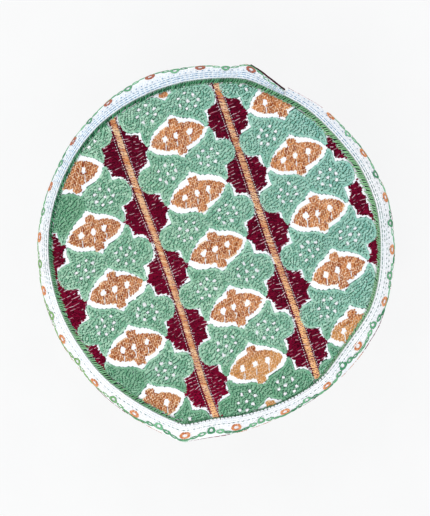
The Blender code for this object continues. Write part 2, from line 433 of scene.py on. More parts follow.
def threadFinish(name, dark, light, fadeAndPaintedLight, patches=0.35, gloss=0.25, corner=None):
    # tone is each stitch's own depth of dye, and drift is how far it turns to its third colour: changed dye,
    # painted light on the whipping, painted shade on the wall's white and grey threads
    look = threadLook
    finish = Finish(name, Roughness=look["roughness"], Specular_IOR_Level=gloss)
    place = finish.place()
    patch = finish.noise(place, look["patchScale"])
    body = finish.mix((finish.mark("tone") + (patch - 0.5) * patches).clip(), dye(*dark), dye(*light))
    if corner:
        colour, right, back, middle = corner
        x, y = finish.split(place)
        body = finish.mix((x * right + y * back + middle).clip(), body, dye(*colour))
    body = finish.mix(finish.mark("drift").clip(), body, dye(*fadeAndPaintedLight))
    run, turn = finish.split(finish.chart("thread"))
    twist = (run * look["plies"] + turn * fullWave).wave() * 0.5 + 0.5
    fibre = finish.noise(place, look["fibreScale"], 3.0)
    return finish.give(
        # the twist also darkens the colour between the plies: painted shade in the grooves
        Base_Color=finish.shade(body, 0.80 + twist * 0.16 + fibre * 0.12),
        Roughness=look["roughness"] + (fibre - 0.5) * 0.2,
        Normal=finish.bump(twist * 0.6 + fibre * 0.4, look["bump"]),
    )


def cottonFinish(name, tint, shade, pitch, chart):
    look = cottonLook
    finish = Finish(name, Roughness=0.85, Specular_IOR_Level=0.25, Sheen_Weight=0.12, Sheen_Roughness=0.6)
    place = finish.place()
    turns = look["turn"] * (10.0 if chart else 1000.0) / pitch   # a cloth's own chart is in centimetres
    warp, weft = finish.split(finish.chart(chart) if chart else place)
    wobble = finish.noise(place, look["wobbleScale"]) * 2.2
    weave = (warp * turns + wobble).wave() * (weft * turns + wobble).wave()
    cloudy = finish.noise(place, look["cloudScale"], 3.0)
    slub = finish.noise(place, look["slubScale"], 3.0)
    body = finish.mix((cloudy * 1.6 - 0.35).clip(), dye(*shade), dye(*tint))
    return finish.give(
        # the weave darkens the colour a little between the crossing threads: painted shade
        Base_Color=finish.shade(body, 0.95 + weave * 0.03 + slub * 0.06),
        Roughness=look["roughness"] + slub * 0.14,
        Normal=finish.bump(weave * 0.6 + slub * 0.6, look["bump"]),
    )


finishes = {name: threadFinish(name, *dyes, **other) for name, (*dyes, other) in threads.items()}
finishes.update({name: cottonFinish(name, *plan) for name, plan in cottons.items()})
print("finishes made:", len(finishes))


# Stitches. One small closed shape is copied along a chart by arrays.

def spunRound(bm, geometry, steps):  # a full turn about the upright axis
    bmesh.ops.spin(bm, geom=geometry, axis=(0, 0, 1), cent=(0, 0, 0), angle=circle, steps=steps,
                   use_merge=True)
    bmesh.ops.remove_doubles(bm, verts=bm.verts[:], dist=1e-5)


def readShape(bm):  # points, faces, and each corner's place along the thread and round it
    bmesh.ops.triangulate(bm, faces=bm.faces[:])
    bmesh.ops.recalc_face_normals(bm, faces=bm.faces[:])
    bm.verts.index_update()
    points = np.array([tuple(v.co) for v in bm.verts])
    faces = np.array([[v.index for v in face.verts] for face in bm.faces])
    bm.free()
    core = 0.35   # height of the thread's middle
    corners = points[faces]
    angle, facing = (np.arctan2(spots[..., 2] - core, spots[..., 1]) / circle
                     for spots in (corners, corners.mean(1)))
    turn = angle - facing[:, None]
    onTip = (np.abs(corners[..., 1]) < 1e-6) & (np.abs(corners[..., 0]) > 0.499)
    turn = np.where(onTip, 0.0, turn - np.round(turn))
    rounds = (facing[:, None] + turn) % 1.0
    return {"points": points, "faces": faces, "runs": corners[..., 0] + 0.5, "rounds": rounds}


def grainShape(stations, shoulder):  # a thread's short float, flat below and tapered to its ends
    bm = bmesh.new()
    spots = np.linspace(-shoulder, shoulder, stations)
    ring = bmesh.ops.create_circle(bm, segments=3, radius=0.5)["verts"]
    for vert, (y, z) in zip(ring, ((-0.5, 0.0), (0.5, 0.0), (0.0, 1.0))):
        vert.co = (spots[0], y, z)
    firstEdges = bm.edges[:]

    def pull(edges, shift):  # returns the new points and the edges between them
        pulled = bmesh.ops.extrude_edge_only(bm, edges=edges)["geom"]
        verts = [item for item in pulled if isinstance(item, bmesh.types.BMVert)]
        bmesh.ops.translate(bm, verts=verts, vec=(shift, 0, 0))
        chosen = set(verts)
        return verts, [e for e in bm.edges if e.verts[0] in chosen and e.verts[1] in chosen]

    lastEdges = firstEdges
    for before, after in zip(spots, spots[1:]):
        lastEdges = pull(lastEdges, after - before)[1]
    for edges, side in ((lastEdges, 1), (firstEdges, -1)):
        tip = pull(edges, side * (0.5 - shoulder))[0]
        bmesh.ops.pointmerge(bm, verts=tip, merge_co=(side * 0.5, 0.0, -0.1))
    return readShape(bm)


def linkShape(segments, thread):  # one link of a chain stitch, a loop that narrows to one end
    bm = bmesh.new()
    for vert in bmesh.ops.create_circle(bm, segments=4, radius=thread)["verts"]:
        x, y = vert.co.x, vert.co.y
        vert.co = (0.5 - thread + x, 0.0, thread + y)
    spunRound(bm, bm.verts[:] + bm.edges[:], segments)
    for vert in bm.verts:
        vert.co.y *= 0.72 + 0.5 * vert.co.x
    return readShape(bm)


shapes = {
    "grain": grainShape(2, 0.33),
    "satin": grainShape(2, 0.42),
    "drape": grainShape(5, 0.42),
    "link": linkShape(9, 0.14),
}


def standing(name, data):  # an object in the scene
    thing = bpy.data.objects.new(name, data)
    bpy.context.scene.collection.objects.link(thing)
    return thing


def placed(name, mesh, finish):
    mesh.shade_smooth()
    mesh.materials.append(finishes[finish])
    piece = standing(name, mesh)
    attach(piece, "root")
    return piece


def joined(name, shape, world, tone, drift, length, finish):
    # world is copies x points x 3. Each copy has its own cell of the map, so nothing overlaps on it.
    count, size = world.shape[:2]
    faces = shape["faces"]
    index = (np.arange(count)[:, None, None] * size + faces[None]).reshape(-1)
    mesh = bpy.data.meshes.new(name)
    mesh.vertices.add(count * size)
    mesh.vertices.foreach_set("co", world.reshape(-1))
    mesh.loops.add(len(index))
    mesh.loops.foreach_set("vertex_index", index.astype(np.int32))
    mesh.polygons.add(count * len(faces))
    mesh.polygons.foreach_set("loop_start", np.arange(0, len(index), 3, dtype=np.int32))
    mesh.update(calc_edges=True)
    for mark, values in (("tone", tone), ("drift", drift)):
        mesh.attributes.new(mark, "FLOAT", "POINT")
        mesh.attributes[mark].data.foreach_set("value", np.repeat(values, size).astype(np.float32))
    runs, rounds = shape["runs"][None], shape["rounds"][None]
    across = int(math.ceil(math.sqrt(count)))
    cell = np.arange(count)
    corner = np.stack([cell % across, cell // across], -1)[:, None, None, :]
    within = 0.08 + 0.84 * np.stack([runs, rounds * 0.98 + 0.01], -1)   # with a margin round each copy
    thread = np.stack(np.broadcast_arrays(runs * length[:, None, None], rounds), -1)
    for chart, values in (("OFBake", (corner + within) / across), ("thread", thread)):
        layer = mesh.uv_layers.new(name=chart)
        layer.data.foreach_set("uv", values.reshape(-1).astype(np.float32))
    placed(name, mesh, finish)
    print(name, "stitches", count, "triangles", count * len(faces))


def jitter(spread, like):
    return draw.normal(0, spread, len(like))


def tones(count):
    return np.clip(draw.normal(0.5, 0.36, count), 0, 1)


def stitchRows(x, y, turn, length):  # a row of numbers for each stitch, and one number may stand for all
    return np.stack(np.broadcast_arrays(x, y, turn, length), -1)


def sew(name, group, chart, blocks, fade=None, wider=1.0, sunk=0.0):
    # blocks hold x, y, turn in degrees and length of each stitch on the chart
    shape, finish, width, height, base = group["sewn"][name]
    x, y, turn, length = np.vstack(blocks).T
    count = len(x)
    points = shapes[shape]["points"]
    angle = np.radians(turn)[:, None]
    wide = (width * wider * draw.uniform(0.88, 1.12, count))[:, None]
    high = (height * draw.uniform(0.8, 1.2, count))[:, None]
    along = points[None, :, 0] * length[:, None]
    side = points[None, :, 1] * wide
    lift = points[None, :, 2] * high + (base - sunk)
    px = x[:, None] + along * np.cos(angle) - side * np.sin(angle)
    py = y[:, None] + along * np.sin(angle) + side * np.cos(angle)
    tone = tones(count)
    drift = fade(x, y) if fade else np.zeros(count)
    joined(name, shapes[shape], chart(px, py, lift), tone, drift, length, finish)


# Outlines and fills

def curveThrough(points, steps=5):  # an open smooth curve
    points = np.array(points, float)
    full = np.vstack([2 * points[0] - points[1], points, 2 * points[-1] - points[-2]])
    t = np.linspace(0, 1, steps, endpoint=False)[:, None]
    runs = [smoothBetween(a, b, c, d, t) for a, b, c, d in zip(full, full[1:], full[2:], full[3:])]
    return np.vstack(runs + [points[-1:]])


def mirroredLoop(quarter):  # from a quarter outline that runs from the upright axis to the level one
    right = np.vstack([quarter, quarter[::-1] * (1, -1)])
    return np.vstack([right, right[::-1] * (-1, 1)])


def ovalLoop(x, y, halfWide, halfHigh, count, lean=0.0):
    t = np.arange(count) * circle / count
    return np.stack([x + halfWide * np.cos(t) + lean * np.sin(t), y + halfHigh * np.sin(t)], -1)


def shrunk(loop, inward):  # a clockwise outline, moved in
    ahead = np.roll(loop, -1, axis=0) - np.roll(loop, 1, axis=0)
    ahead = ahead / np.maximum(np.hypot(*ahead.T), 1e-6)[:, None]
    return loop + inward * np.stack([ahead[:, 1], -ahead[:, 0]], -1)


def evenly(points, step, look=0.4):  # places at even steps along a line of points, and its heading there
    length = np.concatenate([[0], np.cumsum(np.hypot(*np.diff(points, axis=0).T))])
    spots = np.arange(step / 2, length[-1], step)
    x, y = (np.interp(spots, length, line) for line in points.T)
    ahead, aside = (np.interp(spots + look, length, line) - np.interp(spots - look, length, line)
                    for line in points.T)
    return x, y, np.degrees(np.arctan2(aside, ahead))


def rimRows(loop, inward, step, length, lean):  # one row of leaning stitches just inside an outline
    loop = shrunk(loop, inward)
    x, y, turn = evenly(np.vstack([loop, loop[:1]]), step)
    turn = turn + lean + jitter(6, x)
    return stitchRows(x, y, turn, length * draw.uniform(0.85, 1.15, len(x)))


def spansAt(loops, level):  # where a level line is inside closed outlines
    cuts = []
    for loop in loops:
        after = np.roll(loop, -1, axis=0)
        over = (loop[:, 1] > level) != (after[:, 1] > level)
        a, b = loop[over], after[over]
        cuts.extend(a[:, 0] + (level - a[:, 1]) * (b[:, 0] - a[:, 0]) / (b[:, 1] - a[:, 1]))
    cuts.sort()
    return list(zip(cuts[::2], cuts[1::2]))


# How uneven a fill is: between rows, at the ends of a row, between stitches, and the least end, in shares
uneven = {"row": 0.12, "end": (-0.4, 1.0), "stitch": 0.27, "leastEnd": 0.35}


def fillRows(loops, plan, inside):  # rows of stitches over closed outlines, but none past the one inside
    slant = math.radians(plan["slant"])
    c, s = math.cos(slant), math.sin(slant)
    level = np.array([[c, -s], [s, c]])
    loops = [loop @ level for loop in loops]
    inside = [inside @ level]
    heights = np.concatenate([loop[:, 1] for loop in loops])
    pitch, reach, ragged = plan["pitch"], plan["length"], plan["ragged"]
    found = []
    for row in range(math.ceil(heights.min() / pitch), math.floor(heights.max() / pitch) + 1):
        at = (row + draw.uniform(-uneven["row"], uneven["row"])) * pitch
        spans = spansAt(loops, at)
        if spans:
            limits = spansAt(inside, at)
            if not limits:
                continue
            low, high = limits[0][0], limits[-1][1]
            spans = [(max(a, low), min(b, high)) for a, b in spans]
        phase = draw.uniform() if plan["stagger"] < 0 else (row * plan["stagger"]) % 1.0
        for a, b in spans:
            a -= ragged * draw.uniform(*uneven["end"])
            b += ragged * draw.uniform(*uneven["end"])
            if b - a < plan["least"]:
                continue
            marks = (np.arange(math.floor(a / reach), math.ceil(b / reach) + 1) + phase) * reach
            marks = marks + draw.uniform(-uneven["stitch"], uneven["stitch"], len(marks)) * reach
            end = uneven["leastEnd"] * reach
            ends = np.concatenate([[a], marks[(marks > a + end) & (marks < b - end)], [b]])
            for first, last in zip(ends, ends[1:]):
                found.append(((first + last) / 2, at, last - first + plan["overlap"]))
    if not found:
        return np.zeros((0, 4))
    x, y, length = np.array(found).T
    turn = plan["slant"] + jitter(plan["wander"], found)
    return stitchRows(x * c - y * s, x * s + y * c, turn, length)


# The pattern's motifs, as charted outlines in millimetres from each motif's middle
motif = {
    # right upper quarter of a leaf bow: along the eye above it, round its tip, round its outer lobe
    "bow": [
        [(0, 3.5), (1.5, 4.8), (4, 6.6), (8, 8.1), (12, 10.7), (14.5, 13.8)],
        [(14.5, 13.8), (15.9, 14.1), (16.7, 12.4), (16.8, 9.5), (16.6, 6.9)],
        [(16.6, 6.9), (18, 6.6), (20.5, 6.2), (22.7, 4.7), (23.9, 2.3), (24.2, 0)],
    ],
    "bowInset": 0.17,
    "bowUneven": {"size": (0.985, 1.015), "outline": 0.10, "dots": 0.22, "dotWidth": (0.8, 1.25)},
    "bowDots": (10.6, 4.1, 7, 1.12, 0.95),   # ring's middle, radius, dots and stretch, and a dot's size
    # an eye's knob and lens, upper right quarter
    "eye": [
        [(0, 9.2), (2.0, 9.0), (2.3, 7.8), (2.3, 6.0)],
        [(2.3, 6.0), (5.2, 5.6), (8.4, 4.6), (11.6, 2.7), (14.1, 0)],
    ],
    "eyeUneven": {"size": (0.965, 1.02), "outline": 0.08, "dots": 0.2, "dotWidth": (0.85, 1.15)},
    "eyeDots": (-6.7, -0.5, 6.0),
    "dotSize": (1.45, 1.85),
    "dotRise": 0.5,
    "dotLean": 0.35,
    "tailFoot": -5.2,   # each dot's thin tail runs down to here
    # right half of a dark star, from beside the bar above to beside it below
    "star": [
        [(25.4, 16.4), (24.9, 14.5), (24.4, 12.0), (23.4, 10.0), (21.4, 8.9), (18.3, 7.9)],
        [(18.3, 7.9), (18.4, 5.8), (17.9, 3.8), (15.6, 0.4)],
        [(15.6, 0.4), (17.7, -2.0), (18.5, -4.2), (18.3, -6.7)],
        [(18.3, -6.7), (21.2, -7.8), (23.4, -8.9), (24.4, -10.8), (24.9, -13.5), (25.4, -16.4)],
    ],
    "starBar": 25.0,   # points past this lie at the bar
    "starOut": 0.3,
    "starUneven": 0.12,
    # a bow's lobes are moved out, and the left one in again, each from a distance on and over so much more
    "lobe": {"out": 0.4, "from": (4.0, 12.0), "leftIn": 1.05, "leftFrom": (16.0, 7.0)},
}


def moveLobes(points, lobes):  # each lobe is raised and stretched to fit between its own two stars
    lobe = motif["lobe"]
    x, y = points.T
    far = np.abs(x)
    share = ease((far - lobe["from"][0]) / lobe["from"][1])
    drawnIn = np.where(x < 0, lobe["leftIn"], 0.0) * ease((far - lobe["leftFrom"][0]) / lobe["leftFrom"][1])
    rise, stretch = (np.where(x < 0, left, right) for left, right in zip(*lobes))
    x = x + lobe["out"] * np.sign(x) * share - drawnIn
    return np.stack([x, y * (1 + (stretch - 1) * share) + rise * share], -1)


def smoothRuns(name):
    return np.vstack([curveThrough(run) for run in motif[name]])


def roughened(outline, spread):
    return outline + draw.normal(0, spread, outline.shape)


def bowLoops(u, v, dotSides=(-1, 1), scale=1.0, lobes=((0.0, 1.0), (0.0, 1.0))):
    rough = motif["bowUneven"]
    outline = mirroredLoop(smoothRuns("bow")) * (max(scale, 1.0), scale) * draw.uniform(*rough["size"], 2)
    outline = shrunk(moveLobes(outline, lobes), motif["bowInset"]) + (u, v)
    loops = [roughened(outline, rough["outline"])]
    middle, ring, count, stretch, dot = motif["bowDots"]
    for side in dotSides:
        start = draw.uniform(0, 360)
        spots = [(side * middle, 0.0)]
        for k in range(count):
            angle = math.radians(start + k * 360 / count)
            spots.append((side * middle + ring * stretch * math.cos(angle), ring * math.sin(angle)))
        for x, y in spots:
            x, y = moveLobes(np.array([(x, y)]) + draw.normal(0, rough["dots"], 2), lobes)[0]
            loops.append(ovalLoop(u + x, v + y, dot * draw.uniform(*rough["dotWidth"]), dot, 8))
    return loops


def eyeLoops(u, v, dots=motif["eyeDots"]):
    rough = motif["eyeUneven"]
    outline = mirroredLoop(smoothRuns("eye")) * draw.uniform(*rough["size"], 2) + (u, v)
    loops = [roughened(outline, rough["outline"])]
    wide, high = motif["dotSize"]
    for x in dots:
        x, y = np.array([x, motif["dotRise"]]) + draw.normal(0, rough["dots"], 2)
        halfWide = wide * draw.uniform(*rough["dotWidth"])
        loops.append(ovalLoop(u + x, v + y, halfWide, high, 10, motif["dotLean"]))
        foot = v + motif["tailFoot"]
        loops.append(np.array([(u + x - 0.1, v + y - high), (u + x + 0.25, v + y - high),
                               (u + x - 0.95, foot), (u + x - 1.3, foot)]))
    return loops


def starLoop(u, v, side, barAt):
    outline = roughened(smoothRuns("star"), motif["starUneven"])
    outline[:, 0] = np.where(outline[:, 0] > motif["starBar"], barAt, outline[:, 0] + motif["starOut"])
    return [outline * (side, 1) + (u, v)]


# Ways of filling: pitch between rows, stitch length, slant in degrees, how each row is set against the last
# (below 0 by chance), how far its ends stray, the least row, how stitches overlap, and how they turn
fillParts = ("pitch", "length", "slant", "stagger", "ragged", "least", "overlap", "wander")
fills = {name: dict(zip(fillParts, plan)) for name, plan in {
    "green": (0.82, 1.7, -54.0, -1, 0.05, 0.5, -0.30, 15.0),
    "brown": (0.86, 2.2, 57.0, -1, 0.5, 0.5, -0.15, 7.0),
    "maroon": (0.82, 3.2, 5.0, 0.43, 1.0, 0.5, 0.25, 5.0),
    "bar": (0.80, 9.0, -33.0, 0.0, 0.15, 0.5, 0.3, 3.5),
    "fleck": (1.7, 2.6, 6.0, -1, 0.8, 0.5, -0.6, 11.0),
    # the under rows: the green ones and the dark ones are painted shade in the gaps of the fills above them
    "under": (1.25, 4.5, 14.0, 0.31, -0.35, 0.9, 0.5, 2.0),
    "darkGapShade": (1.25, 4.5, 78.0, 0.31, -0.75, 0.9, 0.5, 2.0),
}.items()}
leafEdge = {"inward": 0.58, "step": 0.86, "length": 1.5, "lean": -52.0}   # the row of stitches round a leaf
leafInset = 1.15   # and how far inside the outline the fill starts

# The crown
crown = {
    # middle of each column of eyes on the chart, then for each eye its row, its place aside of the middle,
    # and how much lower or higher the half stars to its left and right are
    "columns": {
        -54.4: (
            (88.6, 0.0, -2.3, -0.5), (58.9, -1.5, -2.3, -0.2), (28.0, -0.6, -1.9, -0.4),
            (-2.4, 0.5, -1.4, -1.6), (-32.7, 0.4, -0.5, -0.9), (-63.9, -0.4, -2.0, 0.5),
            (-93.4, 0.0, -2.0, 0.0),
        ),
        0.0: (
            (90.4, 0.0, 2.5, -0.5), (60.1, 0.1, -1.0, -0.4), (29.4, 0.1, -1.8, 1.2), (0.0, 0.0, -2.5, 0.0),
            (-30.5, -0.4, -2.3, -0.3), (-60.6, -0.2, -1.8, -0.8), (-88.8, 0.0, -3.6, -2.1),
        ),
        53.4: (
            (91.5, 0.0, -1.2, -0.5), (61.4, 0.3, -1.1, -0.5), (31.0, -0.5, -1.6, -0.3),
            (0.5, 0.8, -1.3, -0.4), (-29.9, 0.6, -1.6, -0.6), (-59.6, -0.3, -1.9, -0.6),
            (-89.0, 0.0, -1.9, -0.5),
        ),
    },
    # eyes that the seam cuts show one dot: column and row, the dot's place
    "fewDots": {(-54.4, 58.9): (6.0,), (53.4, 61.4): (-6.7,), (-54.4, -63.9): (6.0,), (53.4, -59.6): (-6.7,)},
    "slit": {"aside": -0.55, "rise": -3.5, "turn": 73.0, "length": 3.4},   # beside each dot's tail
    "rowPitch": 30.2,     # between eyes, where a leaf bow has its charted height
    "starReach": 26.6,    # from an eye's middle to the bars beside it
    "leafRise": 0.35,
    # outer wings worked in deeper green: place on the chart, how deep
    "deepWings": ((-66.5, 43.5, 0.5), (-66.0, -48.0, 0.45)),
    "deepReach": 13.0,
    "leavesLow": 0.75,    # the leaves' share of the lowest row's deeper colour
    "starsLeast": 0.1,    # how red a star is at least
    "edgeIn": 0.25,       # the pattern ends this far inside the seam
    "plainWings": 35.0,   # outer wings further from the level axis than this have no dots
    "flecksKept": 0.55,
    # each bar's middle at heights up the chart
    "barHeights": (-84, -64, -52, -40, -28, -4, 20, 32, 56, 84),
    "bars": ((-27.6, -28.2, -27.9, -27.5, -26.9, -26.6, -27.0, -27.5, -28.0, -28.0),
             (26.4, 26.7, 27.0, 27.1, 26.9, 26.3, 26.5, 26.7, 26.9, 27.0)),
    "barHalf": 1.42,
    # dashes on both sides of a bar: kind, millimetres off, length, pitch, start
    "dashes": (("dark", 0.44, 0.9, 1.3, 0.0), ("white", 0.66, 0.75, 1.3, 0.65), ("dark", 1.0, 0.7, 3.9, 0.4)),
    "dashesOut": {-1: 0.4, 1: -0.12},   # those on the left stand off a little
    # lines of dashes outside the outer columns, with the half stars beside them
    "outerBars": (-81.4, 80.4),
    "outerSpan": (-40.0, 42.0, 1.3),
    "outerStars": -2.2,
    "outerReach": 27.0,
    # bare cloth between stars and seam: bearing, width
    "starGap": ((56, 0.0), (59, 1.5), (76, 1.5), (79, 0.0)),
    "rings": (*np.linspace(0.0, 0.96, 33), 0.98),
    "spin": 160,
    "slot": "crown_embroidery",
    # each piece's stitches: shape, finish, width, height, and how far off the cloth they lie
    "sewn": {
        # the green and dark under-rows are painted shade in the gaps of the fills
        "crown_green_gap_shade": ("satin", "green_gap_shade", 1.5, 0.14, 0.0),
        "crown_underlay_pale": ("satin", "brown_underlay", 1.5, 0.14, 0.0),
        "crown_maroon_gap_shade": ("satin", "maroon_gap_shade", 1.5, 0.14, 0.0),
        "crown_leaves": ("satin", "green_thread", 0.94, 0.40, 0.09),
        "crown_eyes": ("satin", "brown_thread", 0.76, 0.42, 0.05),
        "crown_stars": ("grain", "maroon_thread", 0.88, 0.38, 0.05),
        "star_flecks": ("grain", "fleck_thread", 0.34, 0.2, 0.30),
        "eye_slits": ("grain", "white_thread", 0.5, 0.16, 0.36),
        "leaf_dots": ("satin", "dot_thread", 1.15, 0.05, 0.42),
        "crown_bars": ("satin", "bar_thread", 0.96, 0.38, 0.12),
        "bar_dashes_dark": ("grain", "dark_thread", 0.34, 0.26, 0.22),
        "bar_dashes_white": ("grain", "white_thread", 0.38, 0.30, 0.22),
    },
}


def spunPlace(vert):  # bearing and distance of a point of a spun form
    return math.degrees(math.atan2(vert.co.x, vert.co.y)), math.hypot(vert.co.x, vert.co.y)


def crownCloth():
    bm = bmesh.new()
    thick = cap["crownCloth"]
    top = [(share, 0.0) for share in crown["rings"]]
    side = [(0.992, -0.12), (1.0, -0.5), (1.0, -thick + 0.4), (0.992, -thick)]
    below = [(share, -thick) for share in (*crown["rings"][:0:-2], 0.0)]
    chain = [bm.verts.new((share, 0.0, level)) for share, level in top + side + below]
    edges = [bm.edges.new(pair) for pair in zip(chain, chain[1:])]
    spunRound(bm, chain + edges, crown["spin"])
    for vert in bm.verts:
        bearing, share = spunPlace(vert)
        x, y, _ = turned(bearing, share * float(around("crown", bearing)), 0.0)
        vert.co = (x, y, (float(crownHeight(x / mm, y / mm, share)) + vert.co.z) * mm)
    bmesh.ops.recalc_face_normals(bm, faces=bm.faces[:])
    return bm


def made(name, bm, finish, replaced):
    mesh = bpy.data.meshes.new(name)
    bm.to_mesh(mesh)
    bm.free()
    piece = placed(name, mesh, finish)
    mesh.set_sharp_from_angle(angle=math.radians(50))
    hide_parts(replaced)
    print(name, "faces", len(mesh.polygons))
    return piece


def bowRows(loops, plan, inside):  # a row of stitches inside the outline, then a fill
    edgeRow = rimRows(loops[0], **leafEdge)
    return edgeRow, fillRows([shrunk(loops[0], leafInset)] + loops[1:], plan, inside)


# How colours drift over the charts: how much at most, from where on and over how far. A minus is for a
# direction that runs against the chart, as down or to the left on the crown's.
drifts = {
    "lowRow": (0.62, 53.0, 6.0),         # the crown's lowest row is darker and deeper in colour
    "eyesLeft": (0.85, 35.0, 10.0),      # but the eyes at its left end aren't
    "leavesRight": (0.4, 35.0, 20.0),    # and the leaves at its right end are deeper still
    "starsLeft": (0.25, -20.0, 60.0),    # the stars are redder to the left
    "starsMiddle": (1.0, -45.0, 30.0),   # except in the upper rows
    "starsLow": (0.42, 45.0, 30.0),      # and once more in the lowest rows
    "starsLowLeft": (1.0, -60.0, 80.0),  # on their left
    "leftBar": (0.55, 60.0, 14.0),       # the bars are more golden below
    "rightBar": (0.9, 15.0, 40.0),
    "chains": (1.0, -48.0, 30.0),        # the wall's, by bearing
    "loops": (0.9, 275.0, 40.0),
    # painted cool shade at the back of the wall, from the left and from the right
    "backShadeLeft": (1.0, 270.0, 40.0),
    "backShadeRight": (1.0, -70.0, 30.0),
}


def drifted(name, x):
    most, start, over = drifts[name]
    return most * ease((x - start) / over)


def crownFade(u, v):
    return drifted("lowRow", -v)


def eyeFade(u, v):
    return crownFade(u, v) * (1 - drifted("eyesLeft", -u))


def starFade(u, v):
    middle = (crown["starsLeast"] + drifted("starsLeft", -u)) * drifted("starsMiddle", -v)
    return middle + drifted("starsLow", -v) * drifted("starsLowLeft", -u)


def barFade(u, v):
    return np.where(u > 0, drifted("rightBar", -v), drifted("leftBar", -v))


def leafFade(u, v):
    fade = crownFade(u, v) * (crown["leavesLow"] + drifted("leavesRight", u))
    for x, y, deep in crown["deepWings"]:
        fade = np.maximum(fade, deep * ease((crown["deepReach"] - np.hypot(u - x, v - y)) / 2.0))
    return fade


def stitchCrown():
    outline = crownOutline(crown["edgeIn"])
    green, brown, under, underBrown, slits, stars, dots = ([] for _ in range(7))
    slit = crown["slit"]
    rise = crown["leafRise"]
    for u, eyes in crown["columns"].items():
        for v, aside, *starShifts in eyes:
            eyeDots = crown["fewDots"].get((u, v), motif["eyeDots"])
            loops = eyeLoops(u + aside, v, eyeDots)
            brown.append(fillRows(loops, fills["brown"], outline))
            underBrown.append(fillRows(loops, fills["under"], outline))
            for x in eyeDots:
                slits.append((u + aside + x + slit["aside"], v + slit["rise"], slit["turn"], slit["length"]))
            for side, shift in zip((-1, 1), starShifts):
                stars.append(starLoop(u + aside, v + shift, side, crown["starReach"] - side * aside))
        for above, below in zip(eyes, eyes[1:]):
            v = (above[0] + below[0]) / 2 + rise
            gap = above[0] - below[0]
            plain = abs(v) > crown["plainWings"] and u
            lobes = [((up + low) / 2 - rise, 1 + (up - low) / gap) for up, low in zip(above[2:], below[2:])]
            middle = u + (above[1] + below[1]) / 2
            dotSides = (-math.copysign(1, u),) if plain else (-1, 1)
            loops = bowLoops(middle, v, dotSides, gap / crown["rowPitch"], lobes)
            edgeRow, fill = bowRows(loops, fills["green"], outline)
            green.extend([onCloth(edgeRow, 0.5), fill])
            # the green under-rows are painted shade in the gaps of the leaves
            under.append(fillRows(loops, fills["under"], outline))
            for loop in loops[1:]:
                dots.append((*loop.mean(axis=0), draw.uniform(0, 180), draw.uniform(1.1, 1.7)))
    for u, column in zip(crown["outerBars"], (-54.4, 53.4)):
        side = -1 if u > 0 else 1
        for v, *rest in crown["columns"][column]:
            outer = u - side * crown["outerReach"]
            stars.append(starLoop(outer, v + crown["outerStars"], side, crown["starReach"]))
    inside = crownOutline(crown["edgeIn"], crown["starGap"])
    kinds = ("maroon", "darkGapShade", "fleck")
    maroon, maroonGapShade, flecks = zip(*([fillRows(star, fills[kind], inside) for kind in kinds]
                                        for star in stars))
    for name, rows, fade in (("crown_green_gap_shade", under, None), ("crown_underlay_pale", underBrown, None),
                             ("crown_maroon_gap_shade", maroonGapShade, None), ("crown_leaves", green, leafFade),
                             ("crown_eyes", brown, eyeFade), ("crown_stars", maroon, starFade)):
        sew(name, crown, onCrown, rows, fade)
    flecks = np.vstack(flecks)
    flecks = flecks[draw.uniform(size=len(flecks)) < crown["flecksKept"]]
    flecks[:, 3] *= draw.uniform(0.6, 1.7, len(flecks))
    sew("star_flecks", crown, onCrown, [flecks])
    sew("eye_slits", crown, onCrown, [onCloth(np.array(slits), 0.8)])
    sew("leaf_dots", crown, onCrown, [onCloth(np.array(dots), 1.0)])


def stitchBars():
    outline = crownOutline(0.1)
    heights = crown["barHeights"]
    satin = []
    dashes = {"dark": [], "white": []}
    for middles in crown["bars"]:
        left, right = (np.array([(u + side * crown["barHalf"], v) for u, v in zip(middles, heights)])
                       for side in (-1, 1))
        satin.append(fillRows([np.vstack([left, right[::-1]])], fills["bar"], outline))
        for side, out in crown["dashesOut"].items():
            for kind, away, length, pitch, start in crown["dashes"]:
                v = np.arange(heights[0] + start, heights[-1], pitch)
                v = v + jitter(0.10, v)
                middle = np.interp(v, heights, middles)
                u = middle + side * (crown["barHalf"] + away + out) + jitter(0.05, v)
                dashes[kind].append(stitchRows(u, v, 90 + jitter(6, v), length))
    for u in crown["outerBars"]:
        v = np.arange(*crown["outerSpan"])
        dashes["dark"].append(stitchRows(u + jitter(0.1, v), v, 90 + jitter(6, v), 0.85))
    sew("crown_bars", crown, onCrown, satin, barFade)
    for kind, rows in dashes.items():
        sew(f"bar_dashes_{kind}", crown, onCrown, [onCloth(np.vstack(rows), 0.1)])


made("crown_cloth", crownCloth(), "crown_cotton", "crown_panel")
stitchCrown()
stitchBars()

# The whipped seam
edge = {
    "overCrown": 0.45,  # how far stitches reach in over the crown
    "overWall": 0.50,
    "arch": 0.42,
    "fall": 0.55,
    "pitch": 1.32,
    "slide": 2.3,      # how far a stitch leans along the seam
    "width": 0.82,
    "height": 0.46,
    "lift": 0.02,
    "length": 4.0,     # of thread in a stitch
    "core": 0.92,      # the core's share of the solid seam, so that the stitches cover it
    "spin": 180,
    "sides": 8,
    # bearing, and how far the whipping turns to its paler colour there: painted light and shade round the
    # seam, palest on the right, darkest at the back, the upper left and the front
    "fade": ((0, 0.1), (30, 0.5), (42, 0.9), (60, 0.9), (130, 0.85), (144, 0.1), (186, 0.1), (198, 0.45),
             (214, 0.5), (232, 0.8), (248, 0.6), (262, 0.3), (280, 0.0), (340, 0.0), (360, 0.1)),
    "slot": "whipped_seam",
}


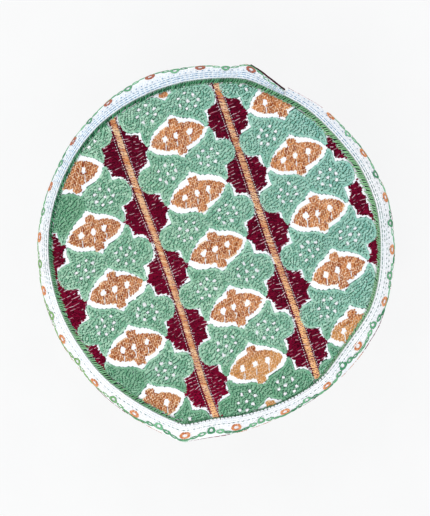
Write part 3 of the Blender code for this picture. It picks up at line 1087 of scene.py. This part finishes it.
def edgeCore():
    bm = bmesh.new()
    size = 0.25
    for vert in bmesh.ops.create_circle(bm, segments=edge["sides"], radius=size)["verts"]:
        vert.co = (1.0 + vert.co.x, 0.0, vert.co.y)
    spunRound(bm, bm.verts[:] + bm.edges[:], edge["spin"])
    for vert in bm.verts:
        bearing, reach = spunPlace(vert)
        across = (reach - 1.0) / size
        inner = float(around("crown", bearing)) + cap["gap"]
        outer = float(around("edge", bearing))
        radius = (inner + outer) / 2 + (outer - inner) / 2 * edge["core"] * across
        level = vert.co.z / size
        vert.co = turned(bearing, radius, cap["edgeMiddle"] + cap["edgeHeight"] / 2 * edge["core"] * level)
    bmesh.ops.recalc_face_normals(bm, faces=bm.faces[:])
    return bm


def stitchEdge():
    shape = shapes["drape"]
    run, side, rise = shape["points"].T[:, None]
    count = int(360.0 * cap["perDegree"] / edge["pitch"])
    middle = (np.arange(count) + draw.uniform(-0.15, 0.15, count)) * 360.0 * cap["perDegree"] / count
    along = middle[:, None] + run * edge["slide"] + side * edge["width"]
    reach = draw.uniform(0.75, 1.3, count)[:, None]
    across = run * 2 * reach + (1 - reach)
    lift = rise * edge["height"] * draw.uniform(0.8, 1.2, count)[:, None] + edge["lift"]
    tone = tones(count)
    # painted light and shade round the seam, by bearing
    drift = tabled(edge["fade"], middle / cap["perDegree"] % 360)
    joined("seam_whipping", shape, onEdge(along, across, lift), tone, drift, np.full(count, edge["length"]),
           "whip_thread")


# the core's dark green is painted shade, seen between the whip stitches
made("seam_core", edgeCore(), "dark_green_and_gap_shade", "crown_edge")
stitchEdge()

# The wall
wall = {
    "columns": 440,
    "ribs": 4,
    "ribPitch": 1.25,
    "ribHeight": 0.42,
    "ribRows": 7,         # rows of faces to a rib
    "bend": (22.0, 18),   # how far down the bend reaches, and its rows
    "lowRows": 18,
    "slot": "white_cotton",
}


def ribLift(down):
    ribbed = wall["ribs"] * wall["ribPitch"]
    rib = np.abs(np.sin(math.pi * down / wall["ribPitch"])) ** 0.8
    return np.where(down < ribbed, wall["ribHeight"] * rib, 0.0)


def wallCloth():  # a grid cut flat and wrapped on the wall's chart
    ribbed = wall["ribs"] * wall["ribPitch"]
    bendEnd, bendRows = wall["bend"]
    downs = np.concatenate([
        np.linspace(0, ribbed, wall["ribs"] * wall["ribRows"] + 1),
        np.linspace(ribbed, bendEnd, bendRows + 1)[1:],
        np.linspace(bendEnd, cap["wallLength"], wall["lowRows"] + 1)[1:],
    ])
    last = len(downs) - 1
    start = cap["lapStart"] * cap["perDegree"]
    end = (cap["lapStart"] + 360.0 + cap["lapOver"]) * cap["perDegree"]
    bm = bmesh.new()
    bmesh.ops.create_grid(bm, x_segments=wall["columns"], y_segments=last, size=1.0, calc_uvs=True)
    flat = np.array([tuple(v.co) for v in bm.verts])
    along = start + (flat[:, 0] + 1) / 2 * (end - start)
    down = downs[np.clip(np.round((1 - flat[:, 1]) / 2 * last).astype(int), 0, last)]
    uvLayer = bm.loops.layers.uv.verify()
    for vert, place, a, d in zip(bm.verts, onWall(along, down, ribLift(down)), along, down):
        vert.co = place
        for loop in vert.link_loops:
            loop[uvLayer].uv = (a / 10.0, d / 10.0)
    bmesh.ops.reverse_faces(bm, faces=bm.faces[:])  # the chart runs down, so the grid came out inside out
    return bm


def onRib(along, down, lift):  # the wall chart over the ribs
    return onWall(along, down, lift + ribLift(down))


wallPiece = made("wall_cloth", wallCloth(), "wall_cotton", "side_wall")
wallPiece.data.uv_layers[0].name = "cloth"
thickness = wallPiece.modifiers.new("thickness", "SOLIDIFY")
thickness.thickness = cap["wallCloth"] * mm
thickness.offset = -1.0

# The wall's borders, on the wall chart
border = {
    "loopBearings": (41, 57, 73, 90, 107, 124, 140.5, 156.5, 173, 189, 206, 222, 239.5, 256.5, 274, 291,
                     307.5, 324, 339.5, 355.5, 371.5),
    "lastCrest": 8.2,      # degrees past the last loop
    "loopDown": 7.6,
    "loopHalf": (1.95, 2.1),
    "loopStitches": 22,
    "loopStroke": 1.5,
    # chain links about each crest: along, down, turn, length, width
    "links": ((0.0, 7.0, 90.0, 6.4, 6.6), (4.5, 9.0, 20.0, 4.6, 5.4), (8.3, 10.7, 20.0, 4.6, 4.0),
              (11.9, 11.9, 12.0, 4.4, 3.2)),
    "linkSpan": (31.0, 383.0),     # bearings
    "sunk": (0.28, 110, 205),      # of the links beside a crest, except between these bearings
    # where the borders lie further down or nearer the crown: bearing, millimetres down
    "slip": ((24.4, 1.5), (90, 1.3), (99, 0.8), (107, 0.6), (116, -0.6), (124, -1.5), (132, -1.6), (140, 0.1),
             (150, 0.0), (198, 0.0), (212, 0.7), (262, 0.9), (278, 0.8), (291, 1.2), (307.5, 1.2), (324, 2.2),
             (339.6, 4.0), (355.4, 2.1), (364, 1.0), (371.5, 0.4), (378.7, -2.6), (384.4, -3.6)),
    "lowerMiddle": 42.3,   # the lower border mirrors the upper one about this
    "chainTurns": 245,     # the bearing about which the chain has its second colour
    # running stitches between the ribs, whose grey also stands for painted shade in the grooves: down,
    # length, step, then the bearings that they show between
    "dashRows": ((1.25, 2.3, 2.5, 24.4, 100), (1.25, 1.7, 2.6, 100, 142), (0.1, 0.9, 1.4, 142, 190),
                 (1.25, 1.5, 2.6, 256, 290), (1.25, 2.2, 2.5, 290, 384.4), (2.5, 1.7, 2.6, 258, 290),
                 (2.5, 2.2, 2.5, 290, 384.4), (2.5, 2.2, 2.5, 24.4, 88), (3.75, 1.4, 2.6, 78, 226),
                 (3.75, 1.2, 2.9, 226, 290), (3.75, 2.2, 2.5, 290, 384.4), (5.6, 0.9, 3.0, 285, 384.4),
                 (5.6, 0.9, 3.0, 24.4, 110)),
    # white stitches across the ribs and beyond them: down, length, step
    "whiteRows": ((0.62, 1.15, 1.0), (1.87, 1.15, 1.0), (3.12, 1.15, 1.0), (4.37, 1.15, 1.0),
                  (6.9, 3.2, 1.6)),
    "whiteTurn": 68.0,
    # past this bearing and down to here they lie along the ribs like a twisted cord: turn, length
    "corded": (262.0, 5, 24.0, 2.3),
    # rows of small stitches; span is the bearings that they lie between, and their step
    "lapBorder": {"span": (371.5, 384.0, 0.9), "down": 0.2, "rows": 5, "pitch": 0.7, "turn": 12,
                  "length": (1.5, 2.2)},
    "lapTacks": {"span": (24.8, 38.0, 1.2), "down": 12.5, "length": 1.9},
    "seamTicks": {"span": (138.0, 192.0, 1.25), "down": 0.3, "turn": 105, "length": (1.0, 1.9)},
    "slot": wall["slot"],
    "sewn": {
        "upper_chain": ("link", "chain_thread", 1.0, 2.0, 0.0),
        "upper_loops": ("satin", "loop_thread", 0.78, 0.45, 0.04),
        "lower_chain": ("link", "chain_thread", 1.0, 2.0, 0.0),
        "lower_loops": ("satin", "loop_thread", 0.78, 0.45, 0.04),
        "lap_border": ("grain", "maroon_gap_shade", 0.95, 0.4, 0.3),
        "lap_tacks": ("grain", "fleck_thread", 0.5, 0.2, 0.1),
        "seam_ticks": ("grain", "dark_green_and_gap_shade", 0.6, 0.3, 0.35),
        "rib_dashes": ("grain", "grey_thread_and_groove_shade", 0.50, 0.25, 0.28),
        "rib_satin": ("satin", "white_thread", 0.86, 0.30, 0.0),
    },
}


def ringRows(along, down):  # satin laid across the stroke of an oval
    count = border["loopStitches"]
    halfAlong, halfDown = border["loopHalf"]
    t = (np.arange(count) + 0.5) * circle / count
    turn = np.degrees(np.arctan2(np.sin(t) * halfAlong, np.cos(t) * halfDown))
    return stitchRows(along + halfAlong * np.cos(t), down + halfDown * np.sin(t), turn, border["loopStroke"])


def chainFade(along, down):
    return drifted("chains", -np.abs(along / cap["perDegree"] - border["chainTurns"]))


def loopFade(along, down):
    return drifted("loops", along / cap["perDegree"])


def paintedBackShade(left, right):  # how far the threads are painted in cool shade at the back of the wall, from the cap's left and right
    def fade(along, down):
        bearing = along / cap["perDegree"]
        return left * drifted("backShadeLeft", bearing) + right * drifted("backShadeRight", -bearing)
    return fade


def stitchChains():
    perDegree = cap["perDegree"]
    slip = border["slip"]
    bearings = np.array(border["loopBearings"])
    crests = np.concatenate([(bearings[:-1] + bearings[1:]) / 2, [bearings[-1] + border["lastCrest"]]])
    first, last = border["linkSpan"]
    depth, proudFrom, proudTo = border["sunk"]
    links = []
    for crest in crests:
        for away, down, turn, length, width in border["links"]:
            for side in (-1, 1) if away else (1,):
                bearing = crest + side * away / perDegree
                if first < bearing < last:
                    across = turn if side > 0 else 180 - turn
                    sunk = depth if away and not proudFrom < bearing < proudTo else 0.0
                    links.append((bearing, down + tabled(slip, bearing), across, length, width, sunk))
    links = np.array(links)
    links[:, 0] *= perDegree
    rings = np.vstack([ringRows(bearing * perDegree, border["loopDown"] + tabled(slip, bearing))
                       for bearing in bearings])
    for name in ("upper", "lower"):
        sew(f"{name}_chain", border, onWall, [links[:, :4]], chainFade, links[:, 4], links[:, 5:])
        sew(f"{name}_loops", border, onWall, [rings], loopFade)
        for rows in (links, rings):   # the lower border is the upper one turned over
            rows[:, 1] = 2 * border["lowerMiddle"] - rows[:, 1]
            rows[:, 2] *= -1


def stitchRibs():
    perDegree = cap["perDegree"]
    dashes, whites = [], []
    for down, length, step, first, last in border["dashRows"]:
        x = np.arange(first * perDegree + 1, last * perDegree - 1, step)
        dashes.append(stitchRows(x + jitter(0.12, x), down + jitter(0.06, x), jitter(8, x),
                                 length * draw.uniform(0.6, 1.2, len(x))))
    cordFrom, cordTo, cordTurn, cordLength = border["corded"]
    for down, length, step in border["whiteRows"]:
        x = np.arange(cap["lapStart"] * perDegree + 1, (cap["lapStart"] + 360) * perDegree - 1, step)
        corded = (x > cordFrom * perDegree) & (down < cordTo)
        turn = np.where(corded, cordTurn, border["whiteTurn"]) + jitter(6, x)
        whites.append(stitchRows(x, down + jitter(0.05, x), turn,
                                 np.where(corded, cordLength, length) * draw.uniform(0.85, 1.15, len(x))))
    plan = border["lapBorder"]
    shadowed = []
    for row in range(plan["rows"]):   # the field's maroon border, where it turns into sight beside the lap, in the dark maroon that also paints the shade there
        x = np.arange(*plan["span"]) * perDegree
        x = x + jitter(0.2, x)
        down = field["top"] - tabled(field["climb"], x / perDegree) + plan["down"] + plan["pitch"] * row
        turn = plan["turn"] + jitter(5, x)
        shadowed.append(stitchRows(x, down, turn, draw.uniform(*plan["length"], len(x))))
    sew("lap_border", border, onWall, shadowed)
    plan = border["lapTacks"]
    x = np.arange(*plan["span"]) * perDegree
    sew("lap_tacks", border, onWall, [stitchRows(x, plan["down"] + jitter(0.1, x), 0, plan["length"])])
    plan = border["seamTicks"]
    x = np.arange(*plan["span"]) * perDegree
    down = plan["down"] + jitter(0.15, x)
    turn = plan["turn"] + jitter(14, x)
    sew("seam_ticks", border, onWall, [stitchRows(x, down, turn, draw.uniform(*plan["length"], len(x)))])
    # painted cool shade on the back of the wall's ribs
    sew("rib_dashes", border, onWall, dashes, paintedBackShade(1.0, 1.0))
    sew("rib_satin", border, onRib, whites, paintedBackShade(0.8, 0.5))


# The wall's field of eyes, leaves and stars, on the same chart
field = {
    "repeats": 11,
    "firstStar": 18.0,
    "top": 17.2,
    "bottom": 69.8,
    "ends": (0.8, -0.4),         # in from the strip's ends
    "rowPitch": 26.3,
    "columnReach": 53.9,         # between the crown's columns, whose motifs are squeezed to fit here
    "starReach": 27.0,
    "coarser": 1.12,             # its rows are further apart than the crown's
    "sunk": (0.15, 18.0, 8.0),   # its upper edge lies lower: by how much, up to where, eased over what
    # where it reaches nearer the crown, as beside the lap, or less near: bearing, millimetres up
    "climb": ((172.0, 0.0), (178.0, -3.0), (194.0, -3.0), (200.0, 0.0), (318.0, 0.0), (326.0, -1.2),
              (352.0, -1.2), (362.0, 0.0), (369.0, 0.0), (373.0, 3.0), (377.0, 6.2), (384.4, 9.3)),
    "slot": wall["slot"],
    "sewn": {
        # the under-rows are painted shade in the gaps of the fills
        "wall_green_gap_shade": ("satin", "green_gap_shade", 1.6, 0.14, 0.0),
        "wall_maroon_gap_shade": ("satin", "maroon_gap_shade", 1.6, 0.14, 0.0),
        "wall_leaves": ("satin", "green_thread", 1.05, 0.42, 0.10),
        "wall_eyes": ("satin", "brown_thread", 0.86, 0.42, 0.10),
        "wall_stars": ("grain", "maroon_thread", 0.95, 0.42, 0.10),
    },
}


def stitchField():
    perDegree = cap["perDegree"]
    pitch = 360.0 * perDegree / field["repeats"]
    squeeze = np.array([pitch / field["columnReach"], field["rowPitch"] / crown["rowPitch"]])
    start = cap["lapStart"] * perDegree + field["ends"][0]
    end = (cap["lapStart"] + 360.0) * perDegree + field["ends"][1]
    top = [(min(bearing * perDegree, end), field["top"] - climb) for bearing, climb in field["climb"]]
    outline = np.array([(start, field["top"])] + top + [(end, field["bottom"]), (start, field["bottom"])])
    coarse = {name: dict(plan, pitch=plan["pitch"] * field["coarser"]) for name, plan in fills.items()}
    green, brown, maroon, under, maroonGapShade = ([] for _ in range(5))

    def squeezed(loops, u, v):
        return [(loop - (u, v)) * squeeze + (u, v) for loop in loops]

    firstColumn = field["firstStar"] * perDegree - pitch / 2
    for column in range(-1, field["repeats"] + 3):
        u = firstColumn + column * pitch
        if u < start - pitch or u > end + pitch:
            continue
        for row in range(3):
            v = field["top"] + row * field["rowPitch"]
            brown.append(fillRows(squeezed(eyeLoops(u, v), u, v), coarse["brown"], outline))
            for side in (-1, 1):
                half = squeezed(starLoop(u, v, side, field["starReach"]), u, v)
                maroon.append(fillRows(half, coarse["maroon"], outline))
                maroonGapShade.append(fillRows(half, coarse["darkGapShade"], outline))
        for row in range(2):
            v = field["top"] + (row + 0.5) * field["rowPitch"]
            loops = squeezed(bowLoops(u, v), u, v)
            edgeRow, fill = bowRows(loops, coarse["green"], outline)
            green.extend([edgeRow[(edgeRow[:, 0] > start) & (edgeRow[:, 0] < end)], fill])
            # the green under-rows are painted shade in the gaps of the leaves
            under.append(fillRows(loops, coarse["under"], outline))
    sew("wall_green_gap_shade", field, onWall, under)
    sew("wall_maroon_gap_shade", field, onWall, maroonGapShade)
    depth, sunkFrom, over = field["sunk"]
    for name, blocks in (("wall_leaves", green), ("wall_eyes", brown), ("wall_stars", maroon)):
        down = np.vstack(blocks)[:, 1:2]
        sew(name, field, onWall, blocks, sunk=depth * (1 - ease((down - sunkFrom) / over)))


stitchChains()
stitchRibs()
stitchField()

# The hem
hem = {
    "spin": 200,
    "stitchPitch": 2.4,
    "stitchLength": 1.7,
    "rows": (1.6, 5.7),
    "slot": "hem_cotton",
    "sewn": {"hem_stitches": ("grain", "white_thread", 0.42, 0.26, 0.0)},
}


def hemCloth():  # spun at a tenth of its thickness, then placed against the wall's foot on both sides
    height, cloth = cap["hemHeight"], cap["hemCloth"]
    rings = {"hemOut": 2.0, "hemIn": 1.0}
    out = [(0, 0.25), (0, 1.0), (0, 2.4), (0, 4.2), (0, 5.8), (0, height - 0.35), (-0.3, height),
           (-0.7, height), (-cloth, height - 0.3), (-cloth, cloth)]
    inside = [(cloth, cloth), (cloth, height - 0.3), (0.7, height), (0.3, height), (0, height - 0.35),
              (0, 3.5), (0, 0.25), (0.25, 0.0)]
    sides = (("hemOut", out), ("hemIn", inside), ("hemOut", [(-0.25, 0.0)]))
    bm = bmesh.new()
    chain = [bm.verts.new((rings[side] + r / 10, 0.0, z)) for side, spots in sides for r, z in spots]
    edges = [bm.edges.new(pair) for pair in zip(chain, chain[1:] + chain[:1])]
    spunRound(bm, chain + edges, hem["spin"])
    bearings = {}
    for vert in bm.verts:
        bearing, reach = spunPlace(vert)
        side = "hemOut" if reach > 1.5 else "hemIn"
        bearings[vert] = bearing
        vert.co = turned(bearing, float(around(side, bearing)) + (reach - rings[side]) * 10, vert.co.z)
    uvLayer = bm.loops.layers.uv.verify()
    for face in bm.faces:
        first = bearings[face.verts[0]]
        for loop in face.loops:
            bearing = bearings[loop.vert]
            bearing -= 360.0 * round((bearing - first) / 360.0)
            loop[uvLayer].uv = (bearing * cap["perDegree"] / 10, loop.vert.co.z / mm / 10)
    bmesh.ops.recalc_face_normals(bm, faces=bm.faces[:])
    return bm


def onHem(back, height, lift):  # the hem's chart: backwards along it, up from its foot, out
    bearing = -back / cap["perDegree"]
    return turned(bearing, around("hemOut", bearing) + lift, height)


def stitchHem():
    rows = []
    for level in hem["rows"]:
        x = np.arange(0, 360 * cap["perDegree"], hem["stitchPitch"])
        rows.append(stitchRows(-(x + jitter(0.1, x)), level, jitter(3, x), hem["stitchLength"]))
    sew("hem_stitches", hem, onHem, rows)


hemPiece = made("hem_cloth", hemCloth(), "hem_cotton", "rim_binding")
hemPiece.data.uv_layers[0].name = "cloth"
stitchHem()

# The room: a plain pale floor, soft light, and a camera almost straight above
room = {
    "floorSize": 8.0,
    "floorGlow": ((0.775, 0.775, 0.775, 1), (0.79, 0.79, 0.79, 1)),
    "world": 1.08,
    "worldTint": (0.95, 0.97, 1.0, 1.0),
    "lights": {
        "key": {"place": (-0.45, -1.15, 1.5), "size": 1.4, "power": 11.5, "tint": (1.0, 0.98, 0.95)},
        "fill": {"place": (-0.55, 0.95, 1.25), "size": 1.4, "power": 5.4, "tint": (0.88, 0.95, 1.0)},
    },
    "lit": (0, 0, 0.05),              # the place in the cap that the lights are turned to
    "aim": (-0.16, -3.23, 90.5),      # millimetres: the crown's point at the picture's middle
    "rise": 0.59,                     # metres from there to the camera
    "lean": 1.5,                      # degrees off straight above, towards the front
    "crownScale": 0.499,              # millimetres to a pixel there
    "pictureHeight": 516,
    "sensor": 36.0,
}


def makeFloor():
    bm = bmesh.new()
    bmesh.ops.create_grid(bm, x_segments=8, y_segments=8, size=room["floorSize"] / 2)
    mesh = bpy.data.meshes.new("floor")
    bm.to_mesh(mesh)
    bm.free()
    finish = Finish("floor_paint", Roughness=0.9, Specular_IOR_Level=0.1, Emission_Strength=1.0)
    speckle = finish.noise(finish.place(), 30.0)
    mesh.materials.append(finish.give(Base_Color=finish.mix(speckle, dye(100, 100, 100), dye(104, 104, 104)),
                                      Emission_Color=finish.mix(speckle, *room["floorGlow"])))
    floor = standing("floor", mesh)


def makeLight():
    world = bpy.data.worlds.new("soft_room")
    world.use_nodes = True
    sky = world.node_tree.nodes["Background"].inputs
    sky["Color"].default_value = room["worldTint"]
    sky["Strength"].default_value = room["world"]
    bpy.context.scene.world = world
    bpy.context.scene.view_settings.view_transform = "Standard"
    for name, plan in room["lights"].items():
        light = bpy.data.lights.new(name, "AREA")
        light.shape = "SQUARE"
        light.size = plan["size"]
        light.energy = plan["power"]
        light.color = plan["tint"]
        lamp = standing(name, light)
        lamp.location = plan["place"]
        beam = Vector(room["lit"]) - Vector(plan["place"])
        lamp.rotation_euler = beam.to_track_quat("-Z", "Y").to_euler()


def makeCamera():
    camera = bpy.data.cameras.new("camera")
    seen = room["pictureHeight"] * room["crownScale"] * mm
    camera.sensor_width = room["sensor"]
    camera.lens = room["sensor"] * room["rise"] / seen
    camera.clip_start = 0.01
    lean = math.radians(room["lean"])
    holder = standing("camera", camera)
    holder.location = Vector(room["aim"]) * mm + Vector((0, -math.sin(lean), math.cos(lean))) * room["rise"]
    holder.rotation_euler = (lean, 0, 0)
    bpy.context.scene.camera = holder


makeFloor()
makeLight()
makeCamera()
print("room made")


def declareCloths():  # works out the crown's area and the hem's cut width, and keeps neither
    bearings = np.arange(0.0, 360.0, 1.0)
    reach = around("crown", bearings)
    across = reach * np.sin(np.radians(bearings))
    up = reach * np.cos(np.radians(bearings))
    disc = float((reach**2).sum()) * math.radians(1.0) / 2
    hemCut = 2 * cap["hemHeight"] + float((measured["hemOut"] - measured["hemIn"]).mean())


declareCloths()
